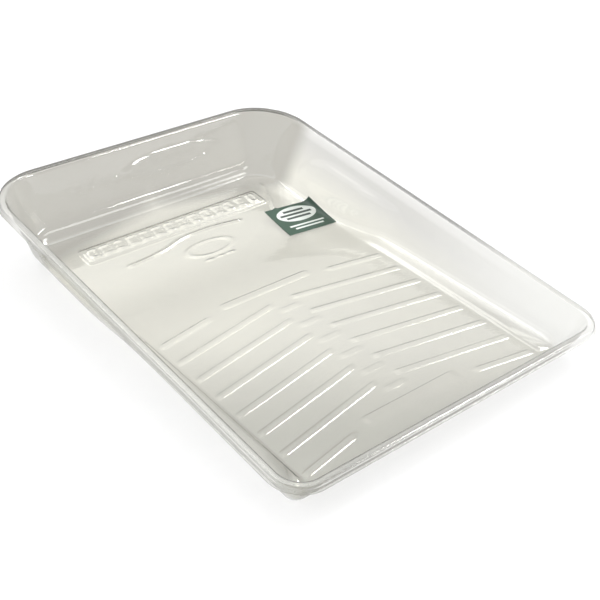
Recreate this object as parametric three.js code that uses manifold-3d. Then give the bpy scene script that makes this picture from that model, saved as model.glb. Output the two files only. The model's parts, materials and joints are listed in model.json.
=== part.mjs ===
// Paint roller tray: a one-piece thermoformed clear PET tray with a deep well, a ribbed ramp and a
// rolled rim, and a small printed label stuck to the floor of the well.
//
// Units are millimetres and +Z is up. The tray is drawn level first, with the top of its rim at z = 0,
// its width along X and its deep end towards +Y. It is then laid down the way an empty tray rests, on
// the front edge of the well and on the shallow end of the ramp, with the middle of its box at x = y = 0
// and its lowest point at z = 0.

import * as THREE from 'three';
import { mergeVertices } from 'three/addons/utils/BufferGeometryUtils.js';
import Module from 'manifold-3d';

// ---- Driving dimensions ------------------------------------------------------------------------

const SHEET = 0.6; // thickness of the formed sheet
const RIM_HALF_WIDTH = 144; // outer edge of the rim's flat top, along X
const RIM_HALF_LENGTH = 193.5; // the same along Y
const DEEP_CORNER_RADIUS = 46;
const SHALLOW_CORNER_RADIUS = 23;

const LIP_DROP = 4.2; // turned-down lip outside the rim
const LIP_FLARE = 1.3;
const LIP_BEND = { share: 0.35, rise: 0.5 }; // where the lip starts to flare: share of the flare, height
const RIM_OUTER_RADIUS = 1.6;
const RIM_FLAT = 2.6;
const RIM_INNER_RADIUS = 2;

const DRAFT = Math.atan(0.35); // lean of the walls from the vertical
const WELL_DEPTH = 53.6;
const WELL_FRONT_Y = 62; // the flat well floor starts here and runs to the back wall
const RAMP_TOP_Y = 24; // where the steep step out of the well meets the ramp
const RAMP_TOP_DEPTH = 42.4;
const RAMP_SLOPE = 0.067;
const SIDE_FILLET = 6;
const BACK_FILLET = 12;

const FIELD_HALF_WIDTH = 109.8; // the ribbed field of the ramp, between two raised side strips
const FIELD_FRONT_Y = -163;
const FIELD_BACK_Y = 150;
const STRIP_RAISE = 1.6;
const STRIP_EDGE = 2.5;
const STRIP_EDGE_LIMIT = 0.6; // most of the way from the field to the wall that its edge may take
const CORNER_X = 92; // the floor's lines beyond these turn with the rim's corners
const CORNER_FRONT_Y = -146;
const CORNER_BACK_Y = 134;

const ARCH_PEAK_Y = 85; // below an arched ledge beside the well each side wall stands further in, as a grip
const ARCH_DEPTH = 14;
const ARCH_RUN = 45; // from the peak to the arch's end near the back corner
const ARCH_FALL = 26;
const ARCH_PAD = 2.6;
const ARCH_LEDGE = 4; // how soon the grip starts below the ledge, and how far it fades out elsewhere
const ARCH_FADE_DOWN = 18;
const ARCH_FADE_FRONT = 50;
const ARCH_FADE_BACK = 8;

const RIB_WIDTH = 6;
const RIB_END_RADIUS = 2.95;
const RIB_HEIGHT = 0.9;
const RIB_PITCH = 22.6;
const RIB_FIRST_Y = 15.1; // centre line of the first pair of arms, carried on to the tray's middle
const RIB_SWEEP = 0.183; // the arms run back towards the shallow end by this much per millimetre
const RIB_PAIRS = 8;
const RIB_INNER_X = 9;
const RIB_OUTER_X = 107;
const END_BAR_HALF_LENGTH = 43; // level bars that join the first arms, and the last
const END_BAR_SHIFT = 4;
const MIDDLE_BAR_HALF_LENGTH = 10;

const PANEL_HALF_LENGTH = 89; // raised panel across the well floor
const PANEL_WIDTH = 21;
const PANEL_Y = 131.5;
const PANEL_HEIGHT = 2;
const PANEL_CORNER_RADIUS = 4;

const LABEL_WIDTH = 47;
const LABEL_LENGTH = 42;
const LABEL_THICKNESS = 0.15;
const LABEL_X = 97; // measured along the floor, and up the fillet beyond it
const LABEL_Y = 86;
const LABEL_TURN = THREE.MathUtils.degToRad(-7);
const LABEL_COLUMNS = 16;
const LABEL_ROWS = 2;
const GAP = 0.3; // clearance left between the label and the tray

const CLEAR_PET = { color: 0xe2e4da, roughness: 0.12, metalness: 0, transparent: true, opacity: 0.4 };
const PRINTED_LABEL = { color: 0x2f5a42, roughness: 0.45, metalness: 0 };

// ---- Surfaces of the level tray ----------------------------------------------------------------

const TOP_INSET = RIM_OUTER_RADIUS + RIM_FLAT + RIM_INNER_RADIUS * Math.cos(DRAFT);
const TOP_DEPTH = RIM_INNER_RADIUS * (1 - Math.sin(DRAFT));

function smooth(t) {
  return THREE.MathUtils.smoothstep(t, 0, 1);
}

// Depth of the floor below the rim's top, along the middle of the tray.
function floorDepth(y) {
  if (y >= WELL_FRONT_Y) {
    return WELL_DEPTH;
  }
  if (y >= RAMP_TOP_Y) {
    return THREE.MathUtils.mapLinear(y, RAMP_TOP_Y, WELL_FRONT_Y, RAMP_TOP_DEPTH, WELL_DEPTH);
  }
  return RAMP_TOP_DEPTH - RAMP_SLOPE * (RAMP_TOP_Y - y);
}

// The same, with the plain strips beside the ribbed field standing a little higher.
function surfaceDepth(x, y) {
  const across = smooth((Math.abs(x) - FIELD_HALF_WIDTH) / STRIP_EDGE);
  const along = smooth((RAMP_TOP_Y + STRIP_EDGE - y) / (4 * STRIP_EDGE));
  return floorDepth(y) - STRIP_RAISE * across * along;
}

// How far a wall stands inside the rim's outer edge at a given depth.
function wallInset(depth) {
  return TOP_INSET + Math.tan(DRAFT) * (depth - TOP_DEPTH);
}

// Inward push of a side wall below the arched ledge.
function archPad(y, depth, foot) {
  const beyond = THREE.MathUtils.clamp((y - ARCH_PEAK_Y) / ARCH_RUN, 0, 1);
  const line = ARCH_DEPTH + ARCH_FALL * (1 - Math.sqrt(1 - beyond * beyond));
  const below = smooth((depth - line) / ARCH_LEDGE);
  const aboveFloor = smooth((foot - depth) / ARCH_FADE_DOWN);
  const fromFront = smooth(y / ARCH_FADE_FRONT);
  const fromBack = smooth((ARCH_PEAK_Y + ARCH_RUN - y) / ARCH_FADE_BACK);
  return ARCH_PAD * below * aboveFloor * fromFront * fromBack;
}

// ---- Rings of the shell ------------------------------------------------------------------------

const ACROSS = [-1, -0.5, 0, 0.5, 1]; // stations along the straight ends, as shares of their length
const ALONG = [-120, -70, -20, RAMP_TOP_Y, 43, WELL_FRONT_Y, 80, 100, 118]; // along the straight sides
const CORNER_STEPS = 8;
const WALL_SHARES = [0.16, 0.27, 0.4, 0.6, 0.8, 1]; // rings of a wall, from the rim down to its fillet
const FOOT_PASSES = 4;

// Points of the rim's outer edge with their outward directions, anticlockwise from the middle of the
// shallow right corner.
function rimStations() {
  const stations = [];
  const frontY = SHALLOW_CORNER_RADIUS - RIM_HALF_LENGTH;
  const backY = RIM_HALF_LENGTH - DEEP_CORNER_RADIUS;
  const half = CORNER_STEPS / 2;

  function corner(signX, centreY, radius, from, firstStep, lastStep) {
    const centreX = signX * (RIM_HALF_WIDTH - radius);
    for (let step = firstStep; step < lastStep; step += 1) {
      const angle = from + (Math.PI / 2) * (step / CORNER_STEPS);
      const normal = new THREE.Vector2(Math.cos(angle), Math.sin(angle));
      const point = new THREE.Vector2(centreX, centreY).addScaledVector(normal, radius);
      stations.push({ point, normal });
    }
  }

  function straight(points, normal) {
    points.forEach((point) => stations.push({ point, normal }));
  }

  const frontX = RIM_HALF_WIDTH - SHALLOW_CORNER_RADIUS;
  const backX = RIM_HALF_WIDTH - DEEP_CORNER_RADIUS;
  const right = new THREE.Vector2(1, 0);
  const left = new THREE.Vector2(-1, 0);
  const back = new THREE.Vector2(0, 1);
  const front = new THREE.Vector2(0, -1);

  corner(1, frontY, SHALLOW_CORNER_RADIUS, -Math.PI / 2, half, CORNER_STEPS);
  straight([frontY, ...ALONG].map((y) => new THREE.Vector2(RIM_HALF_WIDTH, y)), right);
  corner(1, backY, DEEP_CORNER_RADIUS, 0, 0, CORNER_STEPS);
  straight(ACROSS.slice(1).reverse().map((s) => new THREE.Vector2(s * backX, RIM_HALF_LENGTH)), back);
  corner(-1, backY, DEEP_CORNER_RADIUS, Math.PI / 2, 0, CORNER_STEPS);
  straight([...ALONG, backY].reverse().map((y) => new THREE.Vector2(-RIM_HALF_WIDTH, y)), left);
  corner(-1, frontY, SHALLOW_CORNER_RADIUS, Math.PI, 0, CORNER_STEPS);
  straight(ACROSS.slice(0, -1).map((s) => new THREE.Vector2(s * frontX, -RIM_HALF_LENGTH)), front);
  corner(1, frontY, SHALLOW_CORNER_RADIUS, -Math.PI / 2, 0, half);
  return stations;
}

// The rim in section, from the trimmed edge of the lip to the top of the wall: distance outside the
// rim's outer edge, and height.
function rimProfile() {
  const profile = [[LIP_FLARE, -LIP_DROP], [LIP_BEND.share * LIP_FLARE, -LIP_DROP + LIP_BEND.rise]];
  for (let step = 0; step <= 2; step += 1) {
    const angle = (Math.PI / 4) * step;
    const out = RIM_OUTER_RADIUS * (Math.cos(angle) - 1);
    profile.push([out, RIM_OUTER_RADIUS * (Math.sin(angle) - 1)]);
  }
  for (let step = 0; step <= 2; step += 1) {
    const angle = ((Math.PI / 2 - DRAFT) / 2) * step;
    const out = -RIM_OUTER_RADIUS - RIM_FLAT - RIM_INNER_RADIUS * Math.sin(angle);
    profile.push([out, RIM_INNER_RADIUS * (Math.cos(angle) - 1)]);
  }
  return profile;
}

// Where the wall below a rim station would meet the floor if there were no fillet.
function wallFoot(station) {
  let depth = WELL_DEPTH;
  let inset = wallInset(depth);
  for (let pass = 0; pass < FOOT_PASSES; pass += 1) {
    const foot = station.point.clone().addScaledVector(station.normal, -inset);
    depth = surfaceDepth(foot.x, foot.y);
    inset = wallInset(depth);
  }
  return { depth, inset };
}

function ringPoint(station, inset, depth) {
  const plan = station.point.clone().addScaledVector(station.normal, -inset);
  return new THREE.Vector3(plan.x, plan.y, -depth);
}

// One column of the shell, from the lip's edge down the wall to the start of the flat floor.
function column(station) {
  const points = rimProfile().map(([out, height]) => ringPoint(station, -out, -height));
  const { depth, inset } = wallFoot(station);
  const fillet = THREE.MathUtils.lerp(SIDE_FILLET, BACK_FILLET, smooth(station.normal.y));
  const filletDepth = depth - fillet * Math.cos(DRAFT);
  const filletInset = inset - fillet * Math.sin(DRAFT);
  WALL_SHARES.forEach((share) => {
    const wallDepth = THREE.MathUtils.lerp(TOP_DEPTH, filletDepth, share);
    const pad = archPad(station.point.y, wallDepth, filletDepth) * Math.abs(station.normal.x);
    points.push(ringPoint(station, wallInset(wallDepth) + pad, wallDepth));
  });
  const upper = ringPoint(station, filletInset, filletDepth);
  const corner = ringPoint(station, inset, depth);
  const lower = ringPoint(station, inset + fillet, depth);
  lower.z = -surfaceDepth(lower.x, lower.y);
  const curve = new THREE.QuadraticBezierCurve3(upper, corner, lower);
  points.push(curve.getPoint(0.5));
  points.push(lower);
  return points;
}

// ---- Shell mesh --------------------------------------------------------------------------------

// Floor lattice lines: the stations between the corners, and evenly spaced lines beside each corner.
function latticeLines(inner, low, high) {
  const half = CORNER_STEPS / 2;
  const lines = [];
  for (let step = 0; step < half; step += 1) {
    lines.push(THREE.MathUtils.lerp(low, inner[0], step / half));
  }
  lines.push(...inner);
  for (let step = 1; step <= half; step += 1) {
    lines.push(THREE.MathUtils.lerp(inner[inner.length - 1], high, step / half));
  }
  return lines;
}

function floorPoint(x, y) {
  return new THREE.Vector3(x, y, -surfaceDepth(x, y));
}

// The upper skin: vertices, and triangles that face up and into the tray.
function upperSkin() {
  const stations = rimStations();
  const columns = stations.map(column);
  const count = stations.length;
  const rings = columns[0].length;
  const xs = latticeLines(ACROSS.map((s) => s * CORNER_X), -FIELD_HALF_WIDTH, FIELD_HALF_WIDTH);
  const inner = [CORNER_FRONT_Y, ...ALONG, CORNER_BACK_Y];
  const ys = latticeLines(inner, FIELD_FRONT_Y, FIELD_BACK_Y);
  const vertices = [];
  const faces = [];
  for (let ring = 0; ring < rings; ring += 1) {
    columns.forEach((points) => vertices.push(points[ring]));
  }

  const latticeStart = vertices.length + count;
  const at = (i, j) => latticeStart + j * xs.length + i;
  const border = [];
  for (let j = 0; j < ys.length - 1; j += 1) {
    border.push([xs.length - 1, j]);
  }
  for (let i = xs.length - 1; i > 0; i -= 1) {
    border.push([i, ys.length - 1]);
  }
  for (let j = ys.length - 1; j > 0; j -= 1) {
    border.push([0, j]);
  }
  for (let i = 0; i < xs.length - 1; i += 1) {
    border.push([i, 0]);
  }

  border.forEach(([i, j], index) => {
    const edge = new THREE.Vector3(xs[i], ys[j], 0);
    const outer = columns[index][rings - 1].clone().setZ(0);
    const share = Math.min(STRIP_EDGE / edge.distanceTo(outer), STRIP_EDGE_LIMIT);
    edge.lerp(outer, share);
    vertices.push(floorPoint(edge.x, edge.y));
  });
  ys.forEach((y) => xs.forEach((x) => vertices.push(floorPoint(x, y))));

  const loops = [];
  for (let ring = 0; ring <= rings; ring += 1) {
    loops.push(stations.map((_, index) => ring * count + index));
  }
  loops.push(border.map(([i, j]) => at(i, j)));
  for (let band = 0; band < loops.length - 1; band += 1) {
    for (let index = 0; index < count; index += 1) {
      const next = (index + 1) % count;
      const a = loops[band][index];
      const b = loops[band][next];
      const c = loops[band + 1][next];
      const d = loops[band + 1][index];
      faces.push([a, b, c], [a, c, d]);
    }
  }
  for (let j = 0; j < ys.length - 1; j += 1) {
    for (let i = 0; i < xs.length - 1; i += 1) {
      faces.push([at(i, j), at(i + 1, j), at(i + 1, j + 1)], [at(i, j), at(i + 1, j + 1), at(i, j + 1)]);
    }
  }
  return { vertices, faces, edge: loops[0] };
}

function vertexNormals(vertices, faces) {
  const normals = vertices.map(() => new THREE.Vector3());
  faces.forEach(([a, b, c]) => {
    const side = new THREE.Vector3().subVectors(vertices[b], vertices[a]);
    const other = new THREE.Vector3().subVectors(vertices[c], vertices[a]);
    const normal = side.cross(other);
    [a, b, c].forEach((index) => normals[index].add(normal));
  });
  return normals.map((normal) => normal.normalize());
}

// A sheet of even thickness below an open skin, closed along its edge.
function thicken(skin, thickness) {
  const normals = vertexNormals(skin.vertices, skin.faces);
  const below = skin.vertices.map((point, index) => (
    point.clone().addScaledVector(normals[index], -thickness)
  ));
  const shift = skin.vertices.length;
  const faces = [...skin.faces];
  skin.faces.forEach(([a, b, c]) => faces.push([a + shift, c + shift, b + shift]));
  skin.edge.forEach((a, index) => {
    const b = skin.edge[(index + 1) % skin.edge.length];
    faces.push([a, a + shift, b + shift], [a, b + shift, b]);
  });
  const geometry = new THREE.BufferGeometry().setFromPoints([...skin.vertices, ...below]);
  geometry.setIndex(faces.flat());
  return geometry;
}

// ---- Joining and cutting -----------------------------------------------------------------------

const WELD_DISTANCE = 1e-4;
const wasm = await Module();
wasm.setup();

function toSolid(geometry) {
  const bare = geometry.clone();
  bare.deleteAttribute('normal');
  bare.deleteAttribute('uv');
  const merged = mergeVertices(bare, WELD_DISTANCE);
  return new wasm.Manifold(new wasm.Mesh({
    numProp: 3,
    vertProperties: new Float32Array(merged.attributes.position.array),
    triVerts: new Uint32Array(merged.index.array),
  }));
}

function toGeometry(solid) {
  const { vertProperties, triVerts } = solid.getMesh();
  const geometry = new THREE.BufferGeometry();
  geometry.setAttribute('position', new THREE.BufferAttribute(vertProperties, 3));
  geometry.setIndex(new THREE.BufferAttribute(triVerts, 1));
  return geometry;
}

// ---- Raised bars -------------------------------------------------------------------------------

const BAR_CORNER_SEGMENTS = 2;

// A bar with rounded ends, centred at the origin, standing from one height to another.
function roundedBar(length, width, cornerRadius, from, to) {
  const x = length / 2 - cornerRadius;
  const y = width / 2 - cornerRadius;
  const shape = new THREE.Shape();
  shape.absarc(x, y, cornerRadius, 0, Math.PI / 2);
  shape.absarc(-x, y, cornerRadius, Math.PI / 2, Math.PI);
  shape.absarc(-x, -y, cornerRadius, Math.PI, 1.5 * Math.PI);
  shape.absarc(x, -y, cornerRadius, 1.5 * Math.PI, 2 * Math.PI);
  const settings = { depth: to - from, bevelEnabled: false, curveSegments: BAR_CORNER_SEGMENTS };
  const bar = new THREE.ExtrudeGeometry(shape, settings);
  bar.translate(0, 0, from);
  return bar;
}

// Every bar has a raised top and the matching hollow beneath it, so the sheet keeps its thickness.
function barPair({ length, width, height, radius, x, y, turn }) {
  const slope = y < RAMP_TOP_Y ? -Math.atan(RAMP_SLOPE) : 0;
  const place = new THREE.Matrix4().makeTranslation(x, y, -floorDepth(y));
  place.multiply(new THREE.Matrix4().makeRotationX(slope));
  place.multiply(new THREE.Matrix4().makeRotationZ(turn));
  const raised = roundedBar(length, width, radius, -SHEET / 2, height);
  const innerLength = length - 2 * SHEET;
  const innerWidth = width - 2 * SHEET;
  const hollow = roundedBar(innerLength, innerWidth, radius - SHEET, -1.5 * SHEET, height - SHEET);
  return [raised.applyMatrix4(place), hollow.applyMatrix4(place)];
}

function ribBars() {
  const bars = [];
  const rib = { width: RIB_WIDTH, height: RIB_HEIGHT, radius: RIB_END_RADIUS };
  for (let pair = 0; pair < RIB_PAIRS; pair += 1) {
    const outermost = pair === 0 || pair === RIB_PAIRS - 1;
    const innerX = outermost ? END_BAR_HALF_LENGTH + 2 * RIB_WIDTH : RIB_INNER_X;
    const middleX = (innerX + RIB_OUTER_X) / 2;
    const y = RIB_FIRST_Y - RIB_PITCH * pair - RIB_SWEEP * middleX;
    const turn = Math.atan(RIB_SWEEP);
    const length = (RIB_OUTER_X - innerX) / Math.cos(turn);
    bars.push({ ...rib, length, x: middleX, y, turn: -turn });
    bars.push({ ...rib, length, x: -middleX, y, turn });
  }
  const level = { ...rib, x: 0, turn: 0 };
  const lastY = RIB_FIRST_Y - RIB_PITCH * (RIB_PAIRS - 1);
  bars.push({ ...level, length: 2 * END_BAR_HALF_LENGTH, y: RIB_FIRST_Y - END_BAR_SHIFT });
  bars.push({ ...level, length: 2 * END_BAR_HALF_LENGTH, y: lastY - END_BAR_SHIFT });
  for (let row = 1; row < RIB_PAIRS - 1; row += 1) {
    const y = RIB_FIRST_Y - RIB_PITCH * (row + 0.5);
    bars.push({ ...level, length: 2 * MIDDLE_BAR_HALF_LENGTH, y });
  }
  return bars;
}

function wellPanel() {
  const size = { length: 2 * PANEL_HALF_LENGTH, width: PANEL_WIDTH, height: PANEL_HEIGHT };
  return { ...size, radius: PANEL_CORNER_RADIUS, x: 0, y: PANEL_Y, turn: 0 };
}

// ---- The pieces --------------------------------------------------------------------------------

function makeTrayShell() {
  let shell = toSolid(thicken(upperSkin(), SHEET));
  const pairs = [...ribBars(), wellPanel()].map(barPair);
  pairs.forEach(([raised]) => {
    shell = shell.add(toSolid(raised));
  });
  pairs.forEach(([, hollow]) => {
    shell = shell.subtract(toSolid(hollow));
  });
  return new THREE.Mesh(toGeometry(shell), new THREE.MeshStandardMaterial(CLEAR_PET));
}

// The well in section from its middle to the wall: the flat floor and the fillet, as x and height.
function wellSection() {
  const foot = new THREE.Vector2(RIM_HALF_WIDTH - wallInset(WELL_DEPTH), -WELL_DEPTH);
  const up = new THREE.Vector2(Math.sin(DRAFT), Math.cos(DRAFT));
  const start = foot.clone().setX(foot.x - SIDE_FILLET);
  const end = foot.clone().addScaledVector(up, SIDE_FILLET);
  const middle = start.clone().add(end).multiplyScalar(0.25).addScaledVector(foot, 0.5);
  return [new THREE.Vector2(0, -WELL_DEPTH), start, middle, end];
}

// Point above the well's surface, at a distance from the middle that is measured along the surface.
function aboveWell(distance, y, clearance) {
  const section = wellSection();
  let left = distance;
  let piece = 0;
  while (piece < section.length - 2 && left > section[piece].distanceTo(section[piece + 1])) {
    left -= section[piece].distanceTo(section[piece + 1]);
    piece += 1;
  }
  const along = section[piece + 1].clone().sub(section[piece]).normalize();
  const point = section[piece].clone().addScaledVector(along, left);
  point.add(new THREE.Vector2(-along.y, along.x).multiplyScalar(clearance));
  return new THREE.Vector3(point.x, y, point.y);
}

// The label follows the floor, and its outer edge bends up with the fillet at the foot of the wall.
function makeLabel() {
  const columns = LABEL_COLUMNS;
  const rows = LABEL_ROWS;
  const vertices = [];
  for (let row = 0; row <= rows; row += 1) {
    for (let column = 0; column <= columns; column += 1) {
      const across = (column / columns - 0.5) * LABEL_WIDTH;
      const plan = new THREE.Vector2(across, (row / rows - 0.5) * LABEL_LENGTH);
      plan.rotateAround(new THREE.Vector2(), LABEL_TURN);
      vertices.push(aboveWell(LABEL_X + plan.x, LABEL_Y + plan.y, GAP + LABEL_THICKNESS));
    }
  }
  const at = (i, j) => j * (columns + 1) + i;
  const faces = [];
  for (let j = 0; j < rows; j += 1) {
    for (let i = 0; i < columns; i += 1) {
      faces.push([at(i, j), at(i + 1, j), at(i + 1, j + 1)], [at(i, j), at(i + 1, j + 1), at(i, j + 1)]);
    }
  }
  const edge = [];
  for (let i = 0; i < columns; i += 1) {
    edge.push(at(i, 0));
  }
  for (let j = 0; j < rows; j += 1) {
    edge.push(at(columns, j));
  }
  for (let i = columns; i > 0; i -= 1) {
    edge.push(at(i, rows));
  }
  for (let j = rows; j > 0; j -= 1) {
    edge.push(at(0, j));
  }
  const material = new THREE.MeshStandardMaterial(PRINTED_LABEL);
  return new THREE.Mesh(thicken({ vertices, faces, edge }, LABEL_THICKNESS), material);
}

// ---- Assembly ----------------------------------------------------------------------------------

// The empty tray tips forward until the shallow end of the ramp also touches what it stands on.
const rampEndY = -RIM_HALF_LENGTH + wallInset(floorDepth(-RIM_HALF_LENGTH)) + SIDE_FILLET;
const REST_TILT = Math.atan2(WELL_DEPTH - floorDepth(rampEndY), WELL_FRONT_Y - rampEndY);

const tray = new THREE.Group();
const trayShell = makeTrayShell();
trayShell.name = 'tray_shell';
const label = makeLabel();
label.name = 'label';
tray.add(trayShell, label);
tray.rotation.x = REST_TILT;

const paintTray = new THREE.Group();
paintTray.add(tray);
paintTray.updateMatrixWorld(true);
const bounds = new THREE.Box3().setFromObject(paintTray, true);
tray.position.set(0, -(bounds.min.y + bounds.max.y) / 2, -bounds.min.z);

export default paintTray;
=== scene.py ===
"""Clear thermoformed paint roller tray with a printed label, on a plain pale floor in soft studio light.

Lengths in the tray's own formulas are millimetres, measured with the tray level and the top of its rim
at z = 0. `to_frame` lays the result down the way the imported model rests, in metres.
"""
import json
import math

import bpy
import numpy as np
from mathutils import Matrix, Vector


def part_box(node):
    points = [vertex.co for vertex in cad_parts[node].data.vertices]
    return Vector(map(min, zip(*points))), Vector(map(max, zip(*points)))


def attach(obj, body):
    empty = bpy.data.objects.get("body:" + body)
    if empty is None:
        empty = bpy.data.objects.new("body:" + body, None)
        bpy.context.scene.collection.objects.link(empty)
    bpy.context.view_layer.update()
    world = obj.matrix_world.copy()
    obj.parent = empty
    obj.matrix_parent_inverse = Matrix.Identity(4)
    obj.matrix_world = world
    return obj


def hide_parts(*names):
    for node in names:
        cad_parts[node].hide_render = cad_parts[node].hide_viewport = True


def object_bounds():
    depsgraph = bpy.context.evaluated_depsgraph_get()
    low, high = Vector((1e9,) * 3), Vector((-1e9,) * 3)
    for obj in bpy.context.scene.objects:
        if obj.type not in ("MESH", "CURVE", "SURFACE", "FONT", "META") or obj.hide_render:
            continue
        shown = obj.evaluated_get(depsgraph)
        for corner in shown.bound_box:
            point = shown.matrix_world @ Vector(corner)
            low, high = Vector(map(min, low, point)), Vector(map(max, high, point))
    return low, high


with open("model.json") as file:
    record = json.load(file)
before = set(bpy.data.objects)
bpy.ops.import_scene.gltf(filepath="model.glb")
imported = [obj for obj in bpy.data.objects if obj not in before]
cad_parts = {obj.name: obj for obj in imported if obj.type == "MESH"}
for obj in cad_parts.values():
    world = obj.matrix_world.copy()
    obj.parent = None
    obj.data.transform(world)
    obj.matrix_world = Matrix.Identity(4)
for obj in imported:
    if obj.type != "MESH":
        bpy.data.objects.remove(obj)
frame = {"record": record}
CAD_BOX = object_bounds()

# ---- The tray's dimensions --------------------------------------------------------------------------
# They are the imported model's, except that the raised bars and the panel stand lower here, the side strips
# fade out before the front wall, and the fine reliefs are added.

MM = 0.001
_, SHELL_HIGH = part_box("tray_shell")
MOUNT = frame["record"]["mounts"][0]
TILT = math.asin(MOUNT["axis"][1])  # the empty tray rests tipped towards its shallow end

SHEET = 0.6
LIP_DROP = 4.2
LIP_FLARE = 1.3
RIM_HALF_WIDTH = SHELL_HIGH.x / MM - LIP_FLARE
RIM_HALF_LENGTH = 193.5
DEEP_CORNER_RADIUS = 46
SHALLOW_CORNER_RADIUS = 23
RIM_OUTER_RADIUS = 1.6
RIM_FLAT = 2.6
RIM_INNER_RADIUS = 2

DRAFT = math.atan(0.35)
WELL_DEPTH = 53.6
WELL_FRONT_Y = 62
RAMP_TOP_Y = 24
RAMP_TOP_DEPTH = 42.4
RAMP_SLOPE = 0.067
STEP_BLEND = 3  # roundness of the step's two edges
SIDE_FILLET = 6
BACK_FILLET = 12

FIELD_HALF_WIDTH = 109.8
FIELD_FRONT_Y = -169.5
FIELD_BACK_Y = 150
STRIP_RAISE = 1.6
STRIP_EDGE = 2.5
STRIP_FRONT_Y = -168.5
STRIP_FADE = 8

ARCH_PEAK_Y = 85
ARCH_DEPTH = 14
ARCH_RUN = 45
ARCH_FALL = 26
ARCH_PAD = 2.6
ARCH_LEDGE = 4
ARCH_FADE_DOWN = 18
ARCH_FADE_FRONT = 50
ARCH_FADE_BACK = 8

RIB_WIDTH = 6.4
RIB_HEIGHT = 0.3
RIB_PITCH = 22.6
RIB_FIRST_Y = 15.1
RIB_SWEEP = 0.183
RIB_PAIRS = 8
RIB_INNER_X = 9
RIB_OUTER_X = 107
END_BAR_HALF_LENGTH = 43
MIDDLE_BAR_HALF_LENGTH = 10
RIB_SIDE = 0.8  # width of a raised bar's sloping side
END_BAR_HEIGHT = 0.34
END_BAR_EXTRA = 1  # half as much wider than the arms
END_BAR_SHIFT = 4
MIDDLE_BAR_HEIGHT = 0.22

PANEL_Y = 131.5
PANEL_HALF_WIDTH = 11.5
PANEL = dict(half_length=89, half_width=PANEL_HALF_WIDTH, height=1.6, radius=4, soft=2.2)
PANEL_BLOCKS = 14
PANEL_BLOCK_PITCH = 12.2
PANEL_BLOCK = dict(half_length=4.7, half_width=7, height=0.85, radius=1.8, soft=1.4)
PANEL_BLOCK_HOLLOW = dict(half_length=2.4, half_width=3.8, height=0.6, radius=1.4, soft=1.2)

FLOOR_OVAL_X, FLOOR_OVAL_Y = 6, 92
FLOOR_OVAL = dict(half_length=21, half_width=9, height=0.6, stroke=1.8)
DASH_Y = 77
DASH_PITCH = 10
DASH = dict(half_length=3.8, half_width=1.6, height=0.8, soft=1.3)
SHELF_PATH = [(-62, 104), (-42, 105.5), (-24, 108.5), (-10, 113.5), (4, 115.5), (28, 115), (50, 111)]
SHELF = dict(height=1.1, half_width=2.6)
CREASE_PATH = [(102, 146), (99, 139), (96, 131), (93, 123), (90, 116), (87, 109)]
CREASE = dict(height=1.3, half_width=2.8)

WALL_OVAL_X, WALL_OVAL_DEPTH = 29, 22
WALL_OVAL = dict(half_length=42, half_width=8, height=0.4, stroke=2)
OVAL_BARS = 5
OVAL_BAR_PITCH = 10
OVAL_BAR = dict(half_length=3.4, half_width=3, height=0.35, soft=1.8)
SIDE_BARS = 4
SIDE_BAR_X, SIDE_BAR_DEPTH = -28, 24
SIDE_BAR_PITCH = 12
SIDE_BAR = dict(half_length=3, half_width=2.2, height=0.5, soft=1.6)

LABEL_WIDTH = 47
LABEL_LENGTH = 42
LABEL_THICKNESS = 0.15
LABEL_X = 97
LABEL_Y = 86
LABEL_TURN = math.radians(-7)
LABEL_GAP = 0.2
LABEL_COLUMNS, LABEL_ROWS = 44, 40

TOP_INSET = RIM_OUTER_RADIUS + RIM_FLAT + RIM_INNER_RADIUS * math.cos(DRAFT)
TOP_DEPTH = RIM_INNER_RADIUS * (1 - math.sin(DRAFT))


def smooth(t):
    """Rises from 0 to 1 as t does, with a soft start and end."""
    t = np.clip(t, 0, 1)
    return t * t * (3 - 2 * t)


# ---- Surfaces of the level tray ---------------------------------------------------------------------

def floor_depth(y):
    """Depth of the floor below the rim's top, with the two edges of the step rounded."""
    ramp = RAMP_TOP_DEPTH - RAMP_SLOPE * (RAMP_TOP_Y - y)
    rise = (WELL_DEPTH - RAMP_TOP_DEPTH) / (WELL_FRONT_Y - RAMP_TOP_Y)
    step = RAMP_TOP_DEPTH + rise * (y - RAMP_TOP_Y)
    deeper = STEP_BLEND * np.logaddexp(ramp / STEP_BLEND, step / STEP_BLEND)
    return -STEP_BLEND * np.logaddexp(-deeper / STEP_BLEND, -WELL_DEPTH / STEP_BLEND)


def surface_depth(x, y):
    """The same with the plain strips beside the ribbed field standing a little higher."""
    across = smooth((np.abs(x) - FIELD_HALF_WIDTH) / STRIP_EDGE)
    from_step = smooth((RAMP_TOP_Y + STRIP_EDGE - y) / (4 * STRIP_EDGE))
    from_front = smooth((y - STRIP_FRONT_Y) / STRIP_FADE)
    return floor_depth(y) - STRIP_RAISE * across * from_step * from_front


def wall_inset(depth):
    """How far a wall stands inside the rim's outer edge."""
    return TOP_INSET + math.tan(DRAFT) * (depth - TOP_DEPTH)


def arch_pad(y, depth, foot):
    """Inward push of a side wall below the arched ledge beside the well, where the wall forms a grip."""
    beyond = np.clip((y - ARCH_PEAK_Y) / ARCH_RUN, 0, 1)
    line = ARCH_DEPTH + ARCH_FALL * (1 - np.sqrt(1 - beyond * beyond))
    below = smooth((depth - line) / ARCH_LEDGE)
    above_floor = smooth((foot - depth) / ARCH_FADE_DOWN)
    from_front = smooth(y / ARCH_FADE_FRONT)
    from_back = smooth((ARCH_PEAK_Y + ARCH_RUN - y) / ARCH_FADE_BACK)
    return ARCH_PAD * below * above_floor * from_front * from_back


def inside(u, v, half_length, half_width, radius):
    """Distance inside the outline of a bar with rounded corners, centred at u = v = 0."""
    over_u = np.maximum(np.abs(u) - half_length + radius, 0)
    over_v = np.maximum(np.abs(v) - half_width + radius, 0)
    return radius - np.hypot(over_u, over_v)


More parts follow.
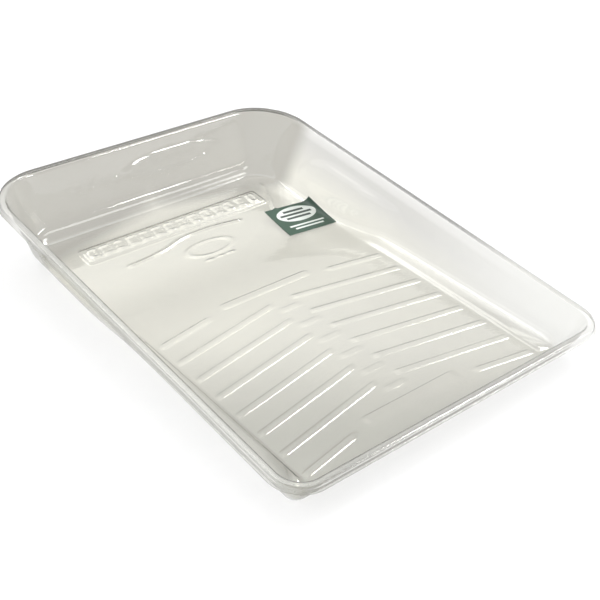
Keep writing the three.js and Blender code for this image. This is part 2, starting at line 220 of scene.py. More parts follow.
def bar(u, v, half_length, half_width, height, soft, radius=None):
    """Height of a raised bar with soft sides, and round ends unless a corner radius is given."""
    radius = half_width if radius is None else radius
    return height * smooth(inside(u, v, half_length, half_width, radius) / soft)


def rib(u, v, half_length, half_width, height):
    """Height of a raised bar with straight sloping sides and round ends."""
    return height * np.clip(inside(u, v, half_length, half_width, half_width) / RIB_SIDE, 0, 1)


def ring(u, v, half_length, half_width, height, stroke):
    """Height of a raised line that runs round an oval."""
    r = np.hypot(u / half_length, v / half_width)
    distance = np.abs(r - 1) * half_width / np.maximum(r, 0.2)
    return height * smooth(1 - distance / stroke)


def ribs(x, row):
    """Raised bars of the ramp. A pair of arms is level in `row`, the lattice's swept coordinate."""
    relief = np.zeros_like(x)
    half = RIB_WIDTH / 2
    end_half = half + END_BAR_EXTRA
    last = RIB_PAIRS - 1
    for pair in range(RIB_PAIRS):
        inner = END_BAR_HALF_LENGTH + 2 * RIB_WIDTH if pair in (0, last) else RIB_INNER_X
        centre = RIB_FIRST_Y - RIB_PITCH * pair - RIB_SWEEP * RIB_INNER_X
        middle = (inner + RIB_OUTER_X) / 2
        arm = rib(np.abs(x) - middle, row - centre, (RIB_OUTER_X - inner) / 2, half, RIB_HEIGHT)
        relief = np.maximum(relief, arm)
    for pair in (0, last):
        centre = RIB_FIRST_Y - RIB_PITCH * pair - END_BAR_SHIFT
        end_bar = rib(x, row - centre, END_BAR_HALF_LENGTH, end_half, END_BAR_HEIGHT)
        relief = np.maximum(relief, end_bar)
    for gap in range(1, last):
        centre = RIB_FIRST_Y - RIB_PITCH * (gap + 0.5)
        middle_bar = rib(x, row - centre, MIDDLE_BAR_HALF_LENGTH, half, MIDDLE_BAR_HEIGHT)
        relief = np.maximum(relief, middle_bar)
    return relief


RIDGE_POINTS = 40


def polyline_ridge(x, y, points, height, half_width):
    """Height of a low rounded ridge along a smooth path."""
    path = np.array(points, float)
    knots = np.arange(len(path))
    fine = np.linspace(0, len(path) - 1, RIDGE_POINTS)
    px, py = (np.interp(fine, knots, path[:, i]) for i in (0, 1))
    kernel = np.array([1, 2, 3, 2, 1]) / 9
    px[2:-2] = np.convolve(px, kernel, "valid")
    py[2:-2] = np.convolve(py, kernel, "valid")
    nearest = np.full(x.shape, np.inf)
    for ax, ay, bx, by in zip(px[:-1], py[:-1], px[1:], py[1:]):
        length2 = (bx - ax) ** 2 + (by - ay) ** 2
        t = np.clip(((x - ax) * (bx - ax) + (y - ay) * (by - ay)) / length2, 0, 1)
        nearest = np.minimum(nearest, np.hypot(x - ax - t * (bx - ax), y - ay - t * (by - ay)))
    return height * smooth(1 - nearest / half_width)


def well_relief(x, y):
    """Raised panel with a row of plain blocks, a plain oval over three dashes, and two soft ridges."""
    relief = bar(x, y - PANEL_Y, **PANEL)
    for block in range(PANEL_BLOCKS):
        centre = (block - (PANEL_BLOCKS - 1) / 2) * PANEL_BLOCK_PITCH
        relief = relief + bar(x - centre, y - PANEL_Y, **PANEL_BLOCK)
        relief = relief - bar(x - centre, y - PANEL_Y, **PANEL_BLOCK_HOLLOW)
    relief = relief + ring(x - FLOOR_OVAL_X, y - FLOOR_OVAL_Y, **FLOOR_OVAL)
    for dash in (-1, 0, 1):
        relief = relief + bar(x - FLOOR_OVAL_X - DASH_PITCH * dash, y - DASH_Y, **DASH)
    relief = relief + polyline_ridge(x, y, SHELF_PATH, **SHELF)
    return relief + polyline_ridge(x, y, CREASE_PATH, **CREASE)


def back_wall_relief(x, depth):
    """Plain raised oval with short bars in it and a few more beside it, on the back wall."""
    relief = ring(x - WALL_OVAL_X, depth - WALL_OVAL_DEPTH, **WALL_OVAL)
    for i in range(OVAL_BARS):
        centre = WALL_OVAL_X + OVAL_BAR_PITCH * (i - OVAL_BARS // 2)
        relief = relief + bar(x - centre, depth - WALL_OVAL_DEPTH, **OVAL_BAR)
    for i in range(SIDE_BARS):
        centre = SIDE_BAR_X - SIDE_BAR_PITCH * i
        relief = relief + bar(x - centre, depth - SIDE_BAR_DEPTH, **SIDE_BAR)
    return relief


# ---- Stations round the rim -------------------------------------------------------------------------

CORNER_X = 92  # the floor lattice's lines beyond these belong to the rim's corners
CORNER_FRONT_Y = -146
CORNER_BACK_Y = 134
STRAIGHT_FRONT_Y, STRAIGHT_BACK_Y = -120, 118  # between these a rim point lies level with its row
LAST_SWEPT_ROW = -149
LEVEL_BACK_ROW, LEVEL_BACK_FADE = -4, 12
LEVEL_FRONT_ROW, LEVEL_FRONT_FADE = -130, 11
LEVEL_HALF_LENGTH, LEVEL_SIDE_FADE = 44, 9
WELL_ROW_FROM, WELL_ROW_FADE = 17.5, 38
TAPER_FROM_Y = 122
BACK_TAPER = 0.055  # narrows the lattice between the rounded back corners
FINE_ROW = 0.36
FINE_BAND = 0.54  # to each side of a raised bar's side
COARSE_ROW = 2.4
WELL_ROW = 1
WELL_RELIEF_FROM, WELL_RELIEF_TO = 72, 120
PANEL_FINE_AT = (PANEL_HALF_WIDTH - 1, 5.3, 2.6)  # from the panel's middle line
FRONT_ROWS = 6
COLUMN_BREAK_X = 75
MIDDLE_COLUMNS = 34
OUTER_COLUMNS = 25
CURVE_POINTS = 4  # along each bend of the rim
FOOT_PASSES = 6
COLLAR = (4.5, 2.6, 1.3)  # distances from the lattice of the rings between it and the fillet
COLLAR_SHARE, COLLAR_SHARE_PER_MM = 0.25, 0.14  # the most of the way they may take
WALL_STEPS = 22
FILLET_STEPS = 6
LIP_RINGS = 6  # from the trimmed edge to the side of the rim
LIP_ATTRIBUTE = "lip"


def side_stations(y):
    """Rim points and outward directions of the right side, for lattice rows at y."""
    front = np.clip((CORNER_FRONT_Y - y) / (CORNER_FRONT_Y - FIELD_FRONT_Y), 0, 1) * math.pi / 4
    back = np.clip((y - CORNER_BACK_Y) / (FIELD_BACK_Y - CORNER_BACK_Y), 0, 1) * math.pi / 4
    angle = back - front
    low = SHALLOW_CORNER_RADIUS - RIM_HALF_LENGTH
    high = RIM_HALF_LENGTH - DEEP_CORNER_RADIUS
    places = [CORNER_FRONT_Y, STRAIGHT_FRONT_Y, STRAIGHT_BACK_Y, CORNER_BACK_Y]
    straight = np.interp(y, places, [low, STRAIGHT_FRONT_Y, STRAIGHT_BACK_Y, high])
    radius = np.where(y < 0, SHALLOW_CORNER_RADIUS, DEEP_CORNER_RADIUS)
    normal = np.stack([np.cos(angle), np.sin(angle)], axis=1)
    centre = np.stack([RIM_HALF_WIDTH - radius, straight], axis=1)
    return centre + normal * radius[:, None], normal


def end_stations(x, back):
    """Rim points and outward directions of an end, for lattice columns at x."""
    radius = DEEP_CORNER_RADIUS if back else SHALLOW_CORNER_RADIUS
    sign = 1 if back else -1
    share = np.clip((np.abs(x) - CORNER_X) / (FIELD_HALF_WIDTH - CORNER_X), 0, 1)
    angle = share * math.pi / 4
    reach = (RIM_HALF_WIDTH - radius) * np.minimum(np.abs(x) / CORNER_X, 1) * np.sign(x)
    normal = np.stack([np.sign(x) * np.sin(angle), sign * np.cos(angle)], axis=1)
    centre = np.stack([reach, np.full_like(x, sign * (RIM_HALF_LENGTH - radius))], axis=1)
    return centre + normal * radius, normal


LIP_CURVE = [(1, 0), (0.8, 0.25), (0.35, 0.6)]  # share of the flare, and height above the trimmed edge


def rim_profile():
    """The rim in section, from the lip's trimmed edge to the top of the wall: outset and height."""
    profile = [(share * LIP_FLARE, rise - LIP_DROP) for share, rise in LIP_CURVE]
    for angle in np.linspace(0, math.pi / 2, CURVE_POINTS):
        profile.append((RIM_OUTER_RADIUS * (math.cos(angle) - 1), RIM_OUTER_RADIUS * (math.sin(angle) - 1)))
    for angle in np.linspace(0, math.pi / 2 - DRAFT, CURVE_POINTS):
        out = -RIM_OUTER_RADIUS - RIM_FLAT - RIM_INNER_RADIUS * math.sin(angle)
        profile.append((out, RIM_INNER_RADIUS * (math.cos(angle) - 1)))
    return profile


# ---- The sheet's upper skin -------------------------------------------------------------------------

def lattice_rows():
    """Rows of the floor lattice, close together where a raised bar rises and wider elsewhere."""
    last = RIB_PAIRS - 1
    edges = []
    for half_step in range(2 * last + 1):
        centre = RIB_FIRST_Y - RIB_PITCH * half_step / 2 - RIB_SWEEP * RIB_INNER_X * (1 - half_step % 2)
        edges += [centre - (RIB_WIDTH - RIB_SIDE) / 2, centre + (RIB_WIDTH - RIB_SIDE) / 2]
    for pair in (0, last):
        centre = RIB_FIRST_Y - RIB_PITCH * pair - END_BAR_SHIFT
        reach = (RIB_WIDTH - RIB_SIDE) / 2 + END_BAR_EXTRA
        edges += [centre - reach, centre + reach]
    for offset in PANEL_FINE_AT:
        edges += [PANEL_Y - offset, PANEL_Y + offset]
    edges = np.array(edges)
    rows = list(np.linspace(FIELD_FRONT_Y, LAST_SWEPT_ROW, FRONT_ROWS))
    while rows[-1] < FIELD_BACK_Y - FINE_ROW:
        ahead = edges[edges > rows[-1] - FINE_BAND] - FINE_BAND - rows[-1]
        room = np.min(ahead) if len(ahead) else COARSE_ROW
        coarse = WELL_ROW if WELL_RELIEF_FROM < rows[-1] < WELL_RELIEF_TO else COARSE_ROW
        rows.append(rows[-1] + (FINE_ROW if room < FINE_ROW else min(room, coarse)))
    rows[-1] = FIELD_BACK_Y
    return np.array(rows)


def lattice_columns():
    """Columns of the floor lattice, closer together beyond COLUMN_BREAK_X."""
    middle = np.linspace(0, COLUMN_BREAK_X, MIDDLE_COLUMNS)
    outer = np.linspace(COLUMN_BREAK_X, FIELD_HALF_WIDTH, OUTER_COLUMNS)
    half = np.concatenate([middle, outer[1:]])
    return np.concatenate([-half[:0:-1], half])


def swept(x, row):
    """Y of a lattice row. Rows follow the arms of the ribs, and run straight under the level bars at
    both ends of the ribbed field, in the well and along the front wall."""
    held = np.maximum(row, LAST_SWEPT_ROW)
    reach = RIB_SWEEP * np.maximum(np.abs(x) - RIB_INNER_X, 0)
    level_back = smooth((held - LEVEL_BACK_ROW) / LEVEL_BACK_FADE)
    level_front = smooth((LEVEL_FRONT_ROW - held) / LEVEL_FRONT_FADE)
    beside_bar = smooth((np.abs(x) - LEVEL_HALF_LENGTH) / LEVEL_SIDE_FADE)
    reach = reach * (1 - (level_back + level_front) * (1 - beside_bar))
    y = held - reach * (1 - smooth((held - WELL_ROW_FROM) / WELL_ROW_FADE))
    share = np.clip((row - FIELD_FRONT_Y) / (LAST_SWEPT_ROW - FIELD_FRONT_Y), 0, 1)
    return FIELD_FRONT_Y + (y - FIELD_FRONT_Y) * share


def wall_rings(point, normal):
    """The shell's columns below the rim stations, ring by ring, from the trimmed edge to the floor."""
    rings = []
    for out, height in rim_profile():
        rings.append(np.column_stack([point + normal * out, np.full(len(point), height)]))
    depth = np.full(len(point), float(WELL_DEPTH))
    for _ in range(FOOT_PASSES):
        foot = point - normal * wall_inset(depth)[:, None]
        depth = surface_depth(foot[:, 0], foot[:, 1])
    inset = wall_inset(depth)
    fillet = SIDE_FILLET + (BACK_FILLET - SIDE_FILLET) * smooth(normal[:, 1])
    fillet_top = depth - fillet * math.cos(DRAFT)
    on_back = smooth((normal[:, 1] - 0.9) / 0.1)
    for share in np.linspace(0, 1, WALL_STEPS + 1)[1:]:
        d = TOP_DEPTH + (fillet_top - TOP_DEPTH) * share
        push = arch_pad(point[:, 1], d, fillet_top) * np.abs(normal[:, 0])
        push = push + on_back * back_wall_relief(point[:, 0], d)
        rings.append(np.column_stack([point - normal * (wall_inset(d) + push)[:, None], -d]))
    corner = np.column_stack([point - normal * inset[:, None], -depth])
    start = np.column_stack([point - normal * (inset - fillet * math.sin(DRAFT))[:, None], -fillet_top])
    end = point - normal * (inset + fillet)[:, None]
    end = np.column_stack([end, -surface_depth(end[:, 0], end[:, 1])])
    for t in np.linspace(0, 1, FILLET_STEPS + 1)[1:]:
        rings.append(start * (1 - t) ** 2 + corner * 2 * t * (1 - t) + end * t * t)
    return rings


def around_lattice(values):
    """Values of a lattice's border, anticlockwise from its right-hand front corner."""
    return np.concatenate([values[:-1, -1], values[-1, :0:-1], values[:0:-1, 0], values[0, :-1]])


def join_rings(outer, inner, kept):
    """Faces between a ring and a finer ring inside it, which has `kept` among its own places."""
    quads, triangles = [], []
    for index, place in enumerate(kept):
        following = kept[(index + 1) % len(kept)]
        a, b = outer[index], outer[(index + 1) % len(kept)]
        gap = (following - place) % len(inner)
        if gap == 1:
            quads.append((a, b, inner[following], inner[place]))
        else:
            middle = inner[(place + 1) % len(inner)]
            quads.append((a, b, inner[following], middle))
            triangles.append((a, middle, inner[place]))
    return np.array(quads), np.array(triangles)


def upper_skin():
    """Vertices, faces as arrays of quads and of triangles, and the ring at the trimmed edge."""
    rows = lattice_rows()
    xs = lattice_columns()
    grid_x, grid_row = np.meshgrid(xs, rows)
    grid_y = swept(grid_x, grid_row)
    grid_x = grid_x * (1 - BACK_TAPER * smooth((grid_y - TAPER_FROM_Y) / (FIELD_BACK_Y - TAPER_FROM_Y)))
    grid_z = -surface_depth(grid_x, grid_y) + ribs(grid_x, grid_row) + well_relief(grid_x, grid_y)
    lattice = np.stack([grid_x, grid_y, grid_z], axis=2)
    inner = around_lattice(lattice)

    right_p, right_n = side_stations(grid_y[:, -1])
    back_p, back_n = end_stations(xs, True)
    front_p, front_n = end_stations(xs, False)
    mirror = np.array([-1, 1])
    point = np.concatenate([right_p[:-1], back_p[:0:-1], (right_p * mirror)[:0:-1], front_p[:-1]])
    normal = np.concatenate([right_n[:-1], back_n[:0:-1], (right_n * mirror)[:0:-1], front_n[:-1]])
    place = np.arange(len(inner))
    sides = [(0, len(rows) - 1), (len(rows) + len(xs) - 2, 2 * len(rows) + len(xs) - 3)]
    on_side = np.any([(place > low) & (place < high) for low, high in sides], axis=0)
    kept = place[~on_side | (place % 2 == 0)]
    point, normal = point[kept], normal[kept]

    rings = wall_rings(point, normal)
    end = rings[-1]
    span = np.linalg.norm(end[:, :2] - inner[kept, :2], axis=1)
    for distance in COLLAR:
        most = COLLAR_SHARE + COLLAR_SHARE_PER_MM * distance
        share = np.minimum(distance / span, most)[:, None]
        plan = inner[kept, :2] * (1 - share) + end[:, :2] * share
        rings.append(np.column_stack([plan, -surface_depth(plan[:, 0], plan[:, 1])]))

    count = len(kept)
    vertices = np.concatenate(rings + [lattice.reshape(-1, 3)])
    numbers = len(rings) * count + np.arange(lattice.shape[0] * lattice.shape[1]).reshape(lattice.shape[:2])
    loops = [np.arange(count) + k * count for k in range(len(rings))]
    quads = []
    for outer, nearer in zip(loops[:-1], loops[1:]):
        quads.append(np.column_stack([outer, np.roll(outer, -1), np.roll(nearer, -1), nearer]))
    joint, triangles = join_rings(loops[-1], around_lattice(numbers), kept)
    quads.append(joint)
    corners = (numbers[:-1, :-1], numbers[:-1, 1:], numbers[1:, 1:], numbers[1:, :-1])
    quads.append(np.stack([corner.ravel() for corner in corners], axis=1))
    return vertices, [np.concatenate(quads), triangles], loops[0]


def vertex_normals(vertices, faces):
    total = np.zeros_like(vertices)
    for polygons in faces:
        p = vertices[polygons]
        normal = np.cross(p[:, 2] - p[:, 0], p[:, -1] - p[:, 1])
        for corner in polygons.T:
            np.add.at(total, corner, normal)
    return total / np.linalg.norm(total, axis=1)[:, None]


def thicken(vertices, faces, edge, thickness):
    """A sheet of even thickness below an open skin, closed along its edge."""
    below = vertices - vertex_normals(vertices, faces) * thickness
    shift = len(vertices)
    around = np.roll(edge, -1)
    wall = np.column_stack([edge, edge + shift, around + shift, around])
    flipped = [polygons[:, ::-1] + shift for polygons in faces]
    return np.concatenate([vertices, below]), faces + flipped + [wall]


def to_frame(vertices):
    """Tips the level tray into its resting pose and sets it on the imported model's place, in metres."""
    c, s = math.cos(TILT), math.sin(TILT)
    x, y, z = np.asarray(vertices, float).T
    turned = np.column_stack([x, y * c - z * s, y * s + z * c]) * MM
    return turned + PLACE


def level_place():
    """Where the level frame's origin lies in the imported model: the well's flat underside fixes it across
    the sheet, and the middle of the box along it."""
    c, s = math.cos(TILT), math.sin(TILT)
    mount = Vector(MOUNT["pos_m"])
    underside = -(WELL_DEPTH + SHEET) * MM
    across = -s * mount.y + c * mount.z - underside
    back_lip = (RIM_HALF_LENGTH + LIP_FLARE) * MM * c + LIP_DROP * MM * s
    y = SHELL_HIGH.y - back_lip
    z = (across + s * y) / c
    return np.array([0.0, y, z])


PLACE = level_place()


def mesh_object(name, vertices, faces, material):
    mesh = bpy.data.meshes.new(name)
    mesh.from_pydata(vertices.tolist(), [], [face for polygons in faces for face in polygons.tolist()])
    mesh.update()
    mesh.shade_smooth()
    obj = bpy.data.objects.new(name, mesh)
    bpy.context.collection.objects.link(obj)
    mesh.materials.append(material)
    return obj


# ---- Materials --------------------------------------------------------------------------------------

def new_material(name):
    material = bpy.data.materials.new(name)
    material.use_nodes = True
    nodes = material.node_tree.nodes
    return material, nodes, material.node_tree.links, nodes["Principled BSDF"]


def math_node(nodes, links, operation, a, b=None):
    node = nodes.new("ShaderNodeMath")
    node.operation = operation
    for index, value in enumerate((a, b)):
        if isinstance(value, (int, float)):
            node.inputs[index].default_value = value
        elif value is not None:
            links.new(value, node.inputs[index])
    return node.outputs[0]


def map_range(nodes, links, value, low, high):
    """0 at `low` and 1 at `high`, with a soft start and end."""
    node = nodes.new("ShaderNodeMapRange")
    node.interpolation_type = "SMOOTHSTEP"
    node.inputs["From Min"].default_value = low
    node.inputs["From Max"].default_value = high
    links.new(value, node.inputs["Value"])
    return node.outputs["Result"]


def mix_colour(nodes, links, mask, below, above):
    mix = nodes.new("ShaderNodeMix")
    mix.data_type = "RGBA"
    links.new(mask, mix.inputs["Factor"])
    links.new(below, mix.inputs["A"])
    mix.inputs["B"].default_value = above
    return mix.outputs["Result"]


# Tint of the sheet, with painted shade and painted light laid over it in places. Places are metres from the
# middle of the tray.
FLOOR_TINT = (0.82, 0.81, 0.74, 1)
# the walls' colour is the sheet's tint with painted shade, greyer than the floor
WALL_TINT_AND_PAINTED_SHADE = (0.67, 0.665, 0.64, 1)
# painted shade at the front left corner
FRONT_LEFT_PAINTED_SHADE = (0.52, 0.515, 0.465, 1)
# painted light: the rim lighter than the shaded walls
RIM_PAINTED_LIGHT = (0.77, 0.765, 0.745, 1)
# painted shade at the back
BACK_PAINTED_SHADE = (0.5, 0.49, 0.45, 1)
# painted reflection: the front of the side walls lighter
SIDE_PAINTED_REFLECTION = (0.81, 0.81, 0.785, 1)
# painted shade along the lip at the back and on the right
FAR_LIP_PAINTED_SHADE = (0.3, 0.3, 0.29, 1)
UNEVENNESS = 0.5
SKEW = 0.8  # the diagonal measure is y plus this share of x
BACK_BOW = 0.25  # the back measure is y plus this share of the distance from the middle line
FRONT_LEFT_SKEW = (-0.04, -0.22)
RIM_SHARE = (0.93, 0.99)
BACK_FROM_TO = (0.158, 0.18)
SIDE_FROM_TO = (0.112, 0.132)
SIDE_SKEW = (0.11, -0.05)
FAR_LIP_SKEW = (0.0, 0.09)


def sheet_tint_and_painted_shade(nodes, links, coords, drawn):
    """Colour of the sheet, laid out over the tray and not derived from its thickness. The sheet's own faint
    tint varies at random; painted shade makes it greyer up the walls and darkest at the back and at the
    front left corner, painted light makes the rim lighter and a painted reflection makes the front of the
    side walls clearest, and painted shade makes it dark along the lip at the back and on the right."""
    def calc(operation, a, b=None):
        return math_node(nodes, links, operation, a, b)

    def between(value, ends):
        return map_range(nodes, links, value, *ends)

    height = nodes.new("ShaderNodeVectorMath")
    height.operation = "DOT_PRODUCT"
    height.inputs[1].default_value = (0, -math.sin(TILT), math.cos(TILT))
    links.new(coords, height.inputs[0])
    rim_height = SHELL_HIGH.z * math.cos(TILT) - SHELL_HIGH.y * math.sin(TILT)
    floor_to_rim = between(height.outputs["Value"], (rim_height - WELL_DEPTH * MM, rim_height))
    uneven = calc("MULTIPLY", calc("SUBTRACT", drawn, 0.5), UNEVENNESS)
    base = nodes.new("ShaderNodeValToRGB")
    for element, position, tint in zip(base.color_ramp.elements, (0.15, 0.85), (FLOOR_TINT, WALL_TINT_AND_PAINTED_SHADE)):
        element.position = position
        element.color = tint
    links.new(calc("ADD", floor_to_rim, uneven), base.inputs["Fac"])

    place = nodes.new("ShaderNodeSeparateXYZ")
    links.new(coords, place.inputs[0])
    x, y = place.outputs["X"], place.outputs["Y"]
    aside = calc("ABSOLUTE", x)
    skew = calc("ADD", calc("MULTIPLY", x, SKEW), y)
    toward_back = calc("ADD", calc("MULTIPLY", aside, BACK_BOW), y)
    lip = nodes.new("ShaderNodeAttribute")
    lip.attribute_name = LIP_ATTRIBUTE
    # Painted shade and painted light, laid over the tint in turn: shade at the front left corner, light on
    # the rim, shade at the back, a painted reflection on the front of the side walls, and shade on the far
    # lip.
    layers = [
        (between(skew, FRONT_LEFT_SKEW), FRONT_LEFT_PAINTED_SHADE),
        (between(floor_to_rim, RIM_SHARE), RIM_PAINTED_LIGHT),
        (between(toward_back, BACK_FROM_TO), BACK_PAINTED_SHADE),
        (calc("MULTIPLY", between(aside, SIDE_FROM_TO), between(skew, SIDE_SKEW)), SIDE_PAINTED_REFLECTION),
        (calc("MULTIPLY", lip.outputs["Fac"], between(skew, FAR_LIP_SKEW)), FAR_LIP_PAINTED_SHADE),
    ]
    colour = base.outputs["Color"]
    for mask, layer_colour in layers:
        colour = mix_colour(nodes, links, mask, colour, layer_colour)
    return colour


def clear_pet():
    """Clear PET with a faint grey-olive tint, uneven from place to place partly at random and partly as
    painted shade and painted light, and the slight waviness of a thermoformed surface."""
    material, nodes, links, shader = new_material("clear_pet")
    shader.inputs["IOR"].default_value = 1.5
    shader.inputs["Transmission Weight"].default_value = 1.0
    coords = nodes.new("ShaderNodeTexCoord")

    drawn = nodes.new("ShaderNodeTexNoise")
    drawn.inputs["Scale"].default_value = 11
    drawn.inputs["Detail"].default_value = 3
    links.new(coords.outputs["Object"], drawn.inputs["Vector"])
    tint = sheet_tint_and_painted_shade(nodes, links, coords.outputs["Object"], drawn.outputs["Fac"])
    links.new(tint, shader.inputs["Base Color"])

    haze = nodes.new("ShaderNodeMapRange")
    haze.inputs["From Min"].default_value = 0.3
    haze.inputs["From Max"].default_value = 0.7
    haze.inputs["To Min"].default_value = 0.03
    haze.inputs["To Max"].default_value = 0.08
    links.new(drawn.outputs["Fac"], haze.inputs["Value"])
    links.new(haze.outputs["Result"], shader.inputs["Roughness"])

    waves = nodes.new("ShaderNodeTexNoise")
    waves.inputs["Scale"].default_value = 60
    waves.inputs["Detail"].default_value = 3
    bump = nodes.new("ShaderNodeBump")
    bump.inputs["Strength"].default_value = 0.3
    bump.inputs["Distance"].default_value = 0.0004
    links.new(coords.outputs["Object"], waves.inputs["Vector"])
    links.new(waves.outputs["Fac"], bump.inputs["Height"])
    links.new(bump.outputs["Normal"], shader.inputs["Normal"])
    return material


# Printed shapes on the label: centre and half sizes across and along it, in millimetres
LABEL_OVAL = (0.5, 7, 19, 11)
LABEL_PALE_LINES = [(1, -9.5, 17, 1.1), (1, -14, 14, 1.1)]
LABEL_DARK_BARS = [(0, 12.2, 10, 1.4), (0, 7.2, 15.5, 1.4), (0, 2.2, 12, 1.4)]
LABEL_GREENS = [(0.015, 0.052, 0.03, 1), (0.024, 0.078, 0.044, 1)]
LABEL_PALE = (0.72, 0.76, 0.72, 1)
LABEL_DARK = (0.03, 0.05, 0.04, 1)


def printed_label():
    """Green print with a pale oval, plain dark bars in it and two pale lines below, and a faint grain."""
    material, nodes, links, shader = new_material("printed_label")
    coords = nodes.new("ShaderNodeTexCoord")
    split = nodes.new("ShaderNodeSeparateXYZ")
    links.new(coords.outputs["UV"], split.inputs[0])
    u, v = split.outputs["X"], split.outputs["Y"]

    def calc(operation, a, b=None):
        return math_node(nodes, links, operation, a, b)

    def inside_bar(centre_u, centre_v, half_u, half_v):
        du = calc("SUBTRACT", half_u, calc("ABSOLUTE", calc("SUBTRACT", u, centre_u)))
        dv = calc("SUBTRACT", half_v, calc("ABSOLUTE", calc("SUBTRACT", v, centre_v)))
        return calc("GREATER_THAN", calc("MINIMUM", du, dv), 0)

    centre_u, centre_v, half_u, half_v = LABEL_OVAL
    ru = calc("DIVIDE", calc("SUBTRACT", u, centre_u), half_u)
    rv = calc("DIVIDE", calc("SUBTRACT", v, centre_v), half_v)
    radius = calc("ADD", calc("MULTIPLY", ru, ru), calc("MULTIPLY", rv, rv))
    pale = calc("LESS_THAN", radius, 1)
    for pale_line in LABEL_PALE_LINES:
        pale = calc("MAXIMUM", pale, inside_bar(*pale_line))
    dark = inside_bar(*LABEL_DARK_BARS[0])
    for dark_bar in LABEL_DARK_BARS[1:]:
        dark = calc("MAXIMUM", dark, inside_bar(*dark_bar))

    grain = nodes.new("ShaderNodeTexNoise")
    grain.inputs["Scale"].default_value = 900
    links.new(coords.outputs["Object"], grain.inputs["Vector"])
    green = nodes.new("ShaderNodeValToRGB")
    for element, shade in zip(green.color_ramp.elements, LABEL_GREENS):
        element.color = shade
    links.new(grain.outputs["Fac"], green.inputs["Fac"])

    colour = mix_colour(nodes, links, pale, green.outputs["Color"], LABEL_PALE)
    colour = mix_colour(nodes, links, dark, colour, LABEL_DARK)
    links.new(colour, shader.inputs["Base Color"])
    shader.inputs["Roughness"].default_value = 0.4
    return material


def pale_floor():
    """A pale table that glows evenly, so that the tray's shadow on it stays faint."""
    material, nodes, links, shader = new_material("pale_floor")
    noise = nodes.new("ShaderNodeTexNoise")
    noise.inputs["Scale"].default_value = 3
    tone = nodes.new("ShaderNodeValToRGB")
    tone.color_ramp.elements[0].color = (0.31, 0.31, 0.31, 1)
    tone.color_ramp.elements[1].color = (0.35, 0.35, 0.35, 1)
    links.new(noise.outputs["Fac"], tone.inputs["Fac"])
    links.new(tone.outputs["Color"], shader.inputs["Base Color"])
    shader.inputs["Roughness"].default_value = 0.9
    shader.inputs["Emission Color"].default_value = (1, 1, 1, 1)
    shader.inputs["Emission Strength"].default_value = 0.65
    return material


# ---- Pieces -----------------------------------------------------------------------------------------

def make_shell():
    vertices, faces, edge = upper_skin()
    vertices, faces = thicken(vertices, faces, edge, SHEET)
    shell = mesh_object("tray_sheet", to_frame(vertices), faces, clear_pet())
    # The lip attribute places the painted shade along the far lip.
    lip = np.arange(len(vertices)) % (len(vertices) // 2) < LIP_RINGS * len(edge)
    shell.data.attributes.new(LIP_ATTRIBUTE, "FLOAT", "POINT").data.foreach_set("value", lip.astype(float))
    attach(shell, "root")
    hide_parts("tray_shell")
    return shell


FILLET_SAMPLES = 25


def along_well(distance):
    """X and height at distances from the middle of the well that are measured along its surface."""
    foot = RIM_HALF_WIDTH - wall_inset(WELL_DEPTH)
    t = np.linspace(0, 1, FILLET_SAMPLES)
    x = np.append(0, foot - SIDE_FILLET * (1 - t) ** 2 + SIDE_FILLET * math.sin(DRAFT) * t * t)
    z = np.append(-WELL_DEPTH, -WELL_DEPTH + SIDE_FILLET * math.cos(DRAFT) * t * t)
    length = np.append(0, np.cumsum(np.hypot(np.diff(x), np.diff(z))))
    return np.interp(distance, length, x), np.interp(distance, length, z)


def make_label():
    """The label follows the floor, and its outer edge bends up with the fillet at the foot of the wall."""
    columns, rows = LABEL_COLUMNS, LABEL_ROWS
    across = np.linspace(-0.5, 0.5, columns + 1) * LABEL_WIDTH
    along = np.linspace(-0.5, 0.5, rows + 1) * LABEL_LENGTH
    u, v = np.meshgrid(across, along)
    x, z = along_well(LABEL_X + u * math.cos(LABEL_TURN) - v * math.sin(LABEL_TURN))
    y = LABEL_Y + u * math.sin(LABEL_TURN) + v * math.cos(LABEL_TURN)
    z = z + WELL_DEPTH - floor_depth(y) + well_relief(x, y)
    base = np.stack([x, y, z], axis=2).reshape(-1, 3)
    j, i = np.meshgrid(np.arange(rows), np.arange(columns), indexing="ij")
    a = (j * (columns + 1) + i).ravel()
    faces = np.column_stack([a, a + 1, a + columns + 2, a + columns + 1])
    edge = [i for i in range(columns)]
    edge += [j * (columns + 1) + columns for j in range(rows)]
    edge += [rows * (columns + 1) + i for i in range(columns, 0, -1)]
    edge += [j * (columns + 1) for j in range(rows, 0, -1)]
    raised = base + vertex_normals(base, [faces]) * (LABEL_GAP + LABEL_THICKNESS)
    vertices, faces = thicken(raised, [faces], np.array(edge), LABEL_THICKNESS)
    label = mesh_object("label_print", to_frame(vertices), faces, printed_label())
    layer = label.data.uv_layers.new(name="UVMap")
    flat = np.column_stack([u.ravel(), v.ravel()])
    flat = np.concatenate([flat, flat])
    corners = np.zeros(len(label.data.loops), int)
    label.data.loops.foreach_get("vertex_index", corners)
    layer.data.foreach_set("uv", flat[corners].ravel())
    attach(label, "root")
    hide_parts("label")
    return label


# ---- Studio -----------------------------------------------------------------------------------------

FLOOR_SIZE = 8.0
LIGHT_TARGET = Vector((0, 0, 0.03))
LIGHT_DISTANCE = 1.4


def direction_to(azimuth, elevation):
    """Unit vector from the tray. Azimuth 0 points from the middle past the shallow end, and 90 along +X."""
    a, e = math.radians(azimuth), math.radians(elevation)
    return Vector((math.sin(a) * math.cos(e), -math.cos(a) * math.cos(e), math.sin(e)))


def make_floor():
    half = FLOOR_SIZE / 2
    corners = np.array([(-half, -half, 0), (half, -half, 0), (half, half, 0), (-half, half, 0)])
    floor = mesh_object("floor", corners, [np.array([[0, 1, 2, 3]])], pale_floor())


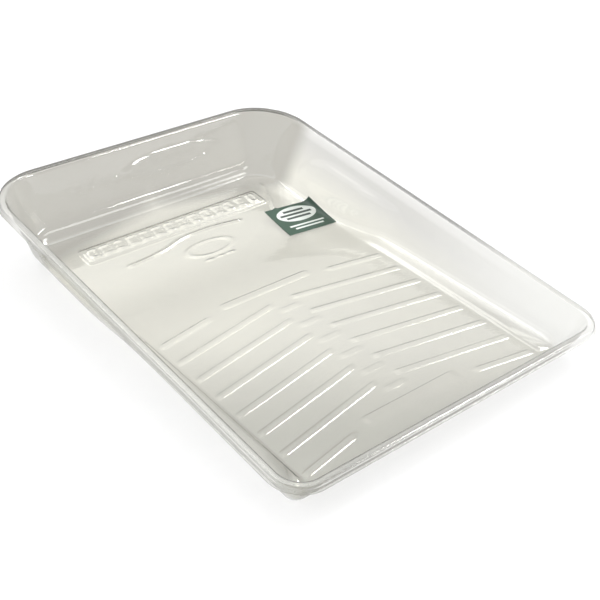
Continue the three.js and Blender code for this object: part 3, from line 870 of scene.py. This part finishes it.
def softbox(name, azimuth, elevation, width, height, watts):
    """Rectangular light aimed at the tray."""
    light = bpy.data.lights.new(name, "AREA")
    light.shape = "RECTANGLE"
    light.size = width
    light.size_y = height
    light.energy = watts
    obj = bpy.data.objects.new(name, light)
    direction = direction_to(azimuth, elevation)
    obj.location = direction * LIGHT_DISTANCE + LIGHT_TARGET
    obj.rotation_euler = direction.to_track_quat("Z", "Y").to_euler()
    bpy.context.collection.objects.link(obj)


WORLD_BASE = 0.75
BACKDROP_LEVEL = 1.0
WORLD_LOBES = [  # azimuth, elevation, sharpness, strength
    (138, 58, 22, 3.0),
    (94, 49, 400, 38.0),
    (86, 51, 600, 38.0),
    (100, 54, 900, 38.0),
    (66, 48, 200, 16.0),
    (180, 56, 60, 5.0),
    (-135, 44, 60, 1.6),
    (28, 5, 5, -0.3),
]


def make_world():
    """A pale studio with a broad glow behind the tray, small bright lamps to its right that glint on the
    raised bars, and a darker patch low down in front. Seen directly it is an even pale backdrop."""
    world = bpy.data.worlds.new("studio")
    bpy.context.scene.world = world
    world.use_nodes = True
    nodes, links = world.node_tree.nodes, world.node_tree.links
    coords = nodes.new("ShaderNodeTexCoord")
    level = WORLD_BASE
    for azimuth, elevation, sharpness, strength in WORLD_LOBES:
        dot = nodes.new("ShaderNodeVectorMath")
        dot.operation = "DOT_PRODUCT"
        links.new(coords.outputs["Generated"], dot.inputs[0])
        dot.inputs[1].default_value = direction_to(azimuth, elevation)
        facing = math_node(nodes, links, "MAXIMUM", dot.outputs["Value"], 0)
        shaped = math_node(nodes, links, "POWER", facing, sharpness)
        level = math_node(nodes, links, "ADD", math_node(nodes, links, "MULTIPLY", shaped, strength), level)
    seen = nodes.new("ShaderNodeLightPath").outputs["Is Camera Ray"]
    mix = nodes.new("ShaderNodeMix")
    links.new(seen, mix.inputs["Factor"])
    links.new(level, mix.inputs["A"])
    mix.inputs["B"].default_value = BACKDROP_LEVEL
    links.new(mix.outputs["Result"], nodes["Background"].inputs["Strength"])
    nodes["Background"].inputs["Color"].default_value = (1, 1, 1, 1)


def make_light():
    make_world()
    softbox("strip", azimuth=47, elevation=8, width=1.0, height=0.06, watts=5)
    softbox("ceiling_panel", azimuth=35, elevation=34, width=0.5, height=0.25, watts=1.6)


CAMERA_AZIMUTH = -40.66
CAMERA_ELEVATION = 33.13
CAMERA_ROLL = 1.76
CAMERA_DISTANCE = 0.8
CAMERA_LENS = 64.57
CAMERA_AIM = (0.016515, -0.024018)  # right of and above the middle of the box, as the camera sees it


def make_camera():
    low, high = CAD_BOX
    middle = (Vector(low) + Vector(high)) / 2
    away = direction_to(CAMERA_AZIMUTH, CAMERA_ELEVATION)
    right = Vector((0, 0, 1)).cross(away).normalized()
    up = away.cross(right)
    aim = middle + right * CAMERA_AIM[0] + up * CAMERA_AIM[1]
    roll = Matrix.Rotation(math.radians(CAMERA_ROLL), 3, away)
    right, up = roll @ right, roll @ up
    camera = bpy.data.cameras.new("camera")
    camera.lens = CAMERA_LENS
    camera.clip_start = 0.01
    obj = bpy.data.objects.new("camera", camera)
    basis = Matrix((right, up, away)).transposed().to_4x4()
    obj.matrix_world = Matrix.Translation(aim + away * CAMERA_DISTANCE) @ basis
    bpy.context.collection.objects.link(obj)
    bpy.context.scene.camera = obj


bpy.context.scene.view_settings.view_transform = "Standard"
make_camera()
make_floor()
make_light()
make_shell()
make_label()
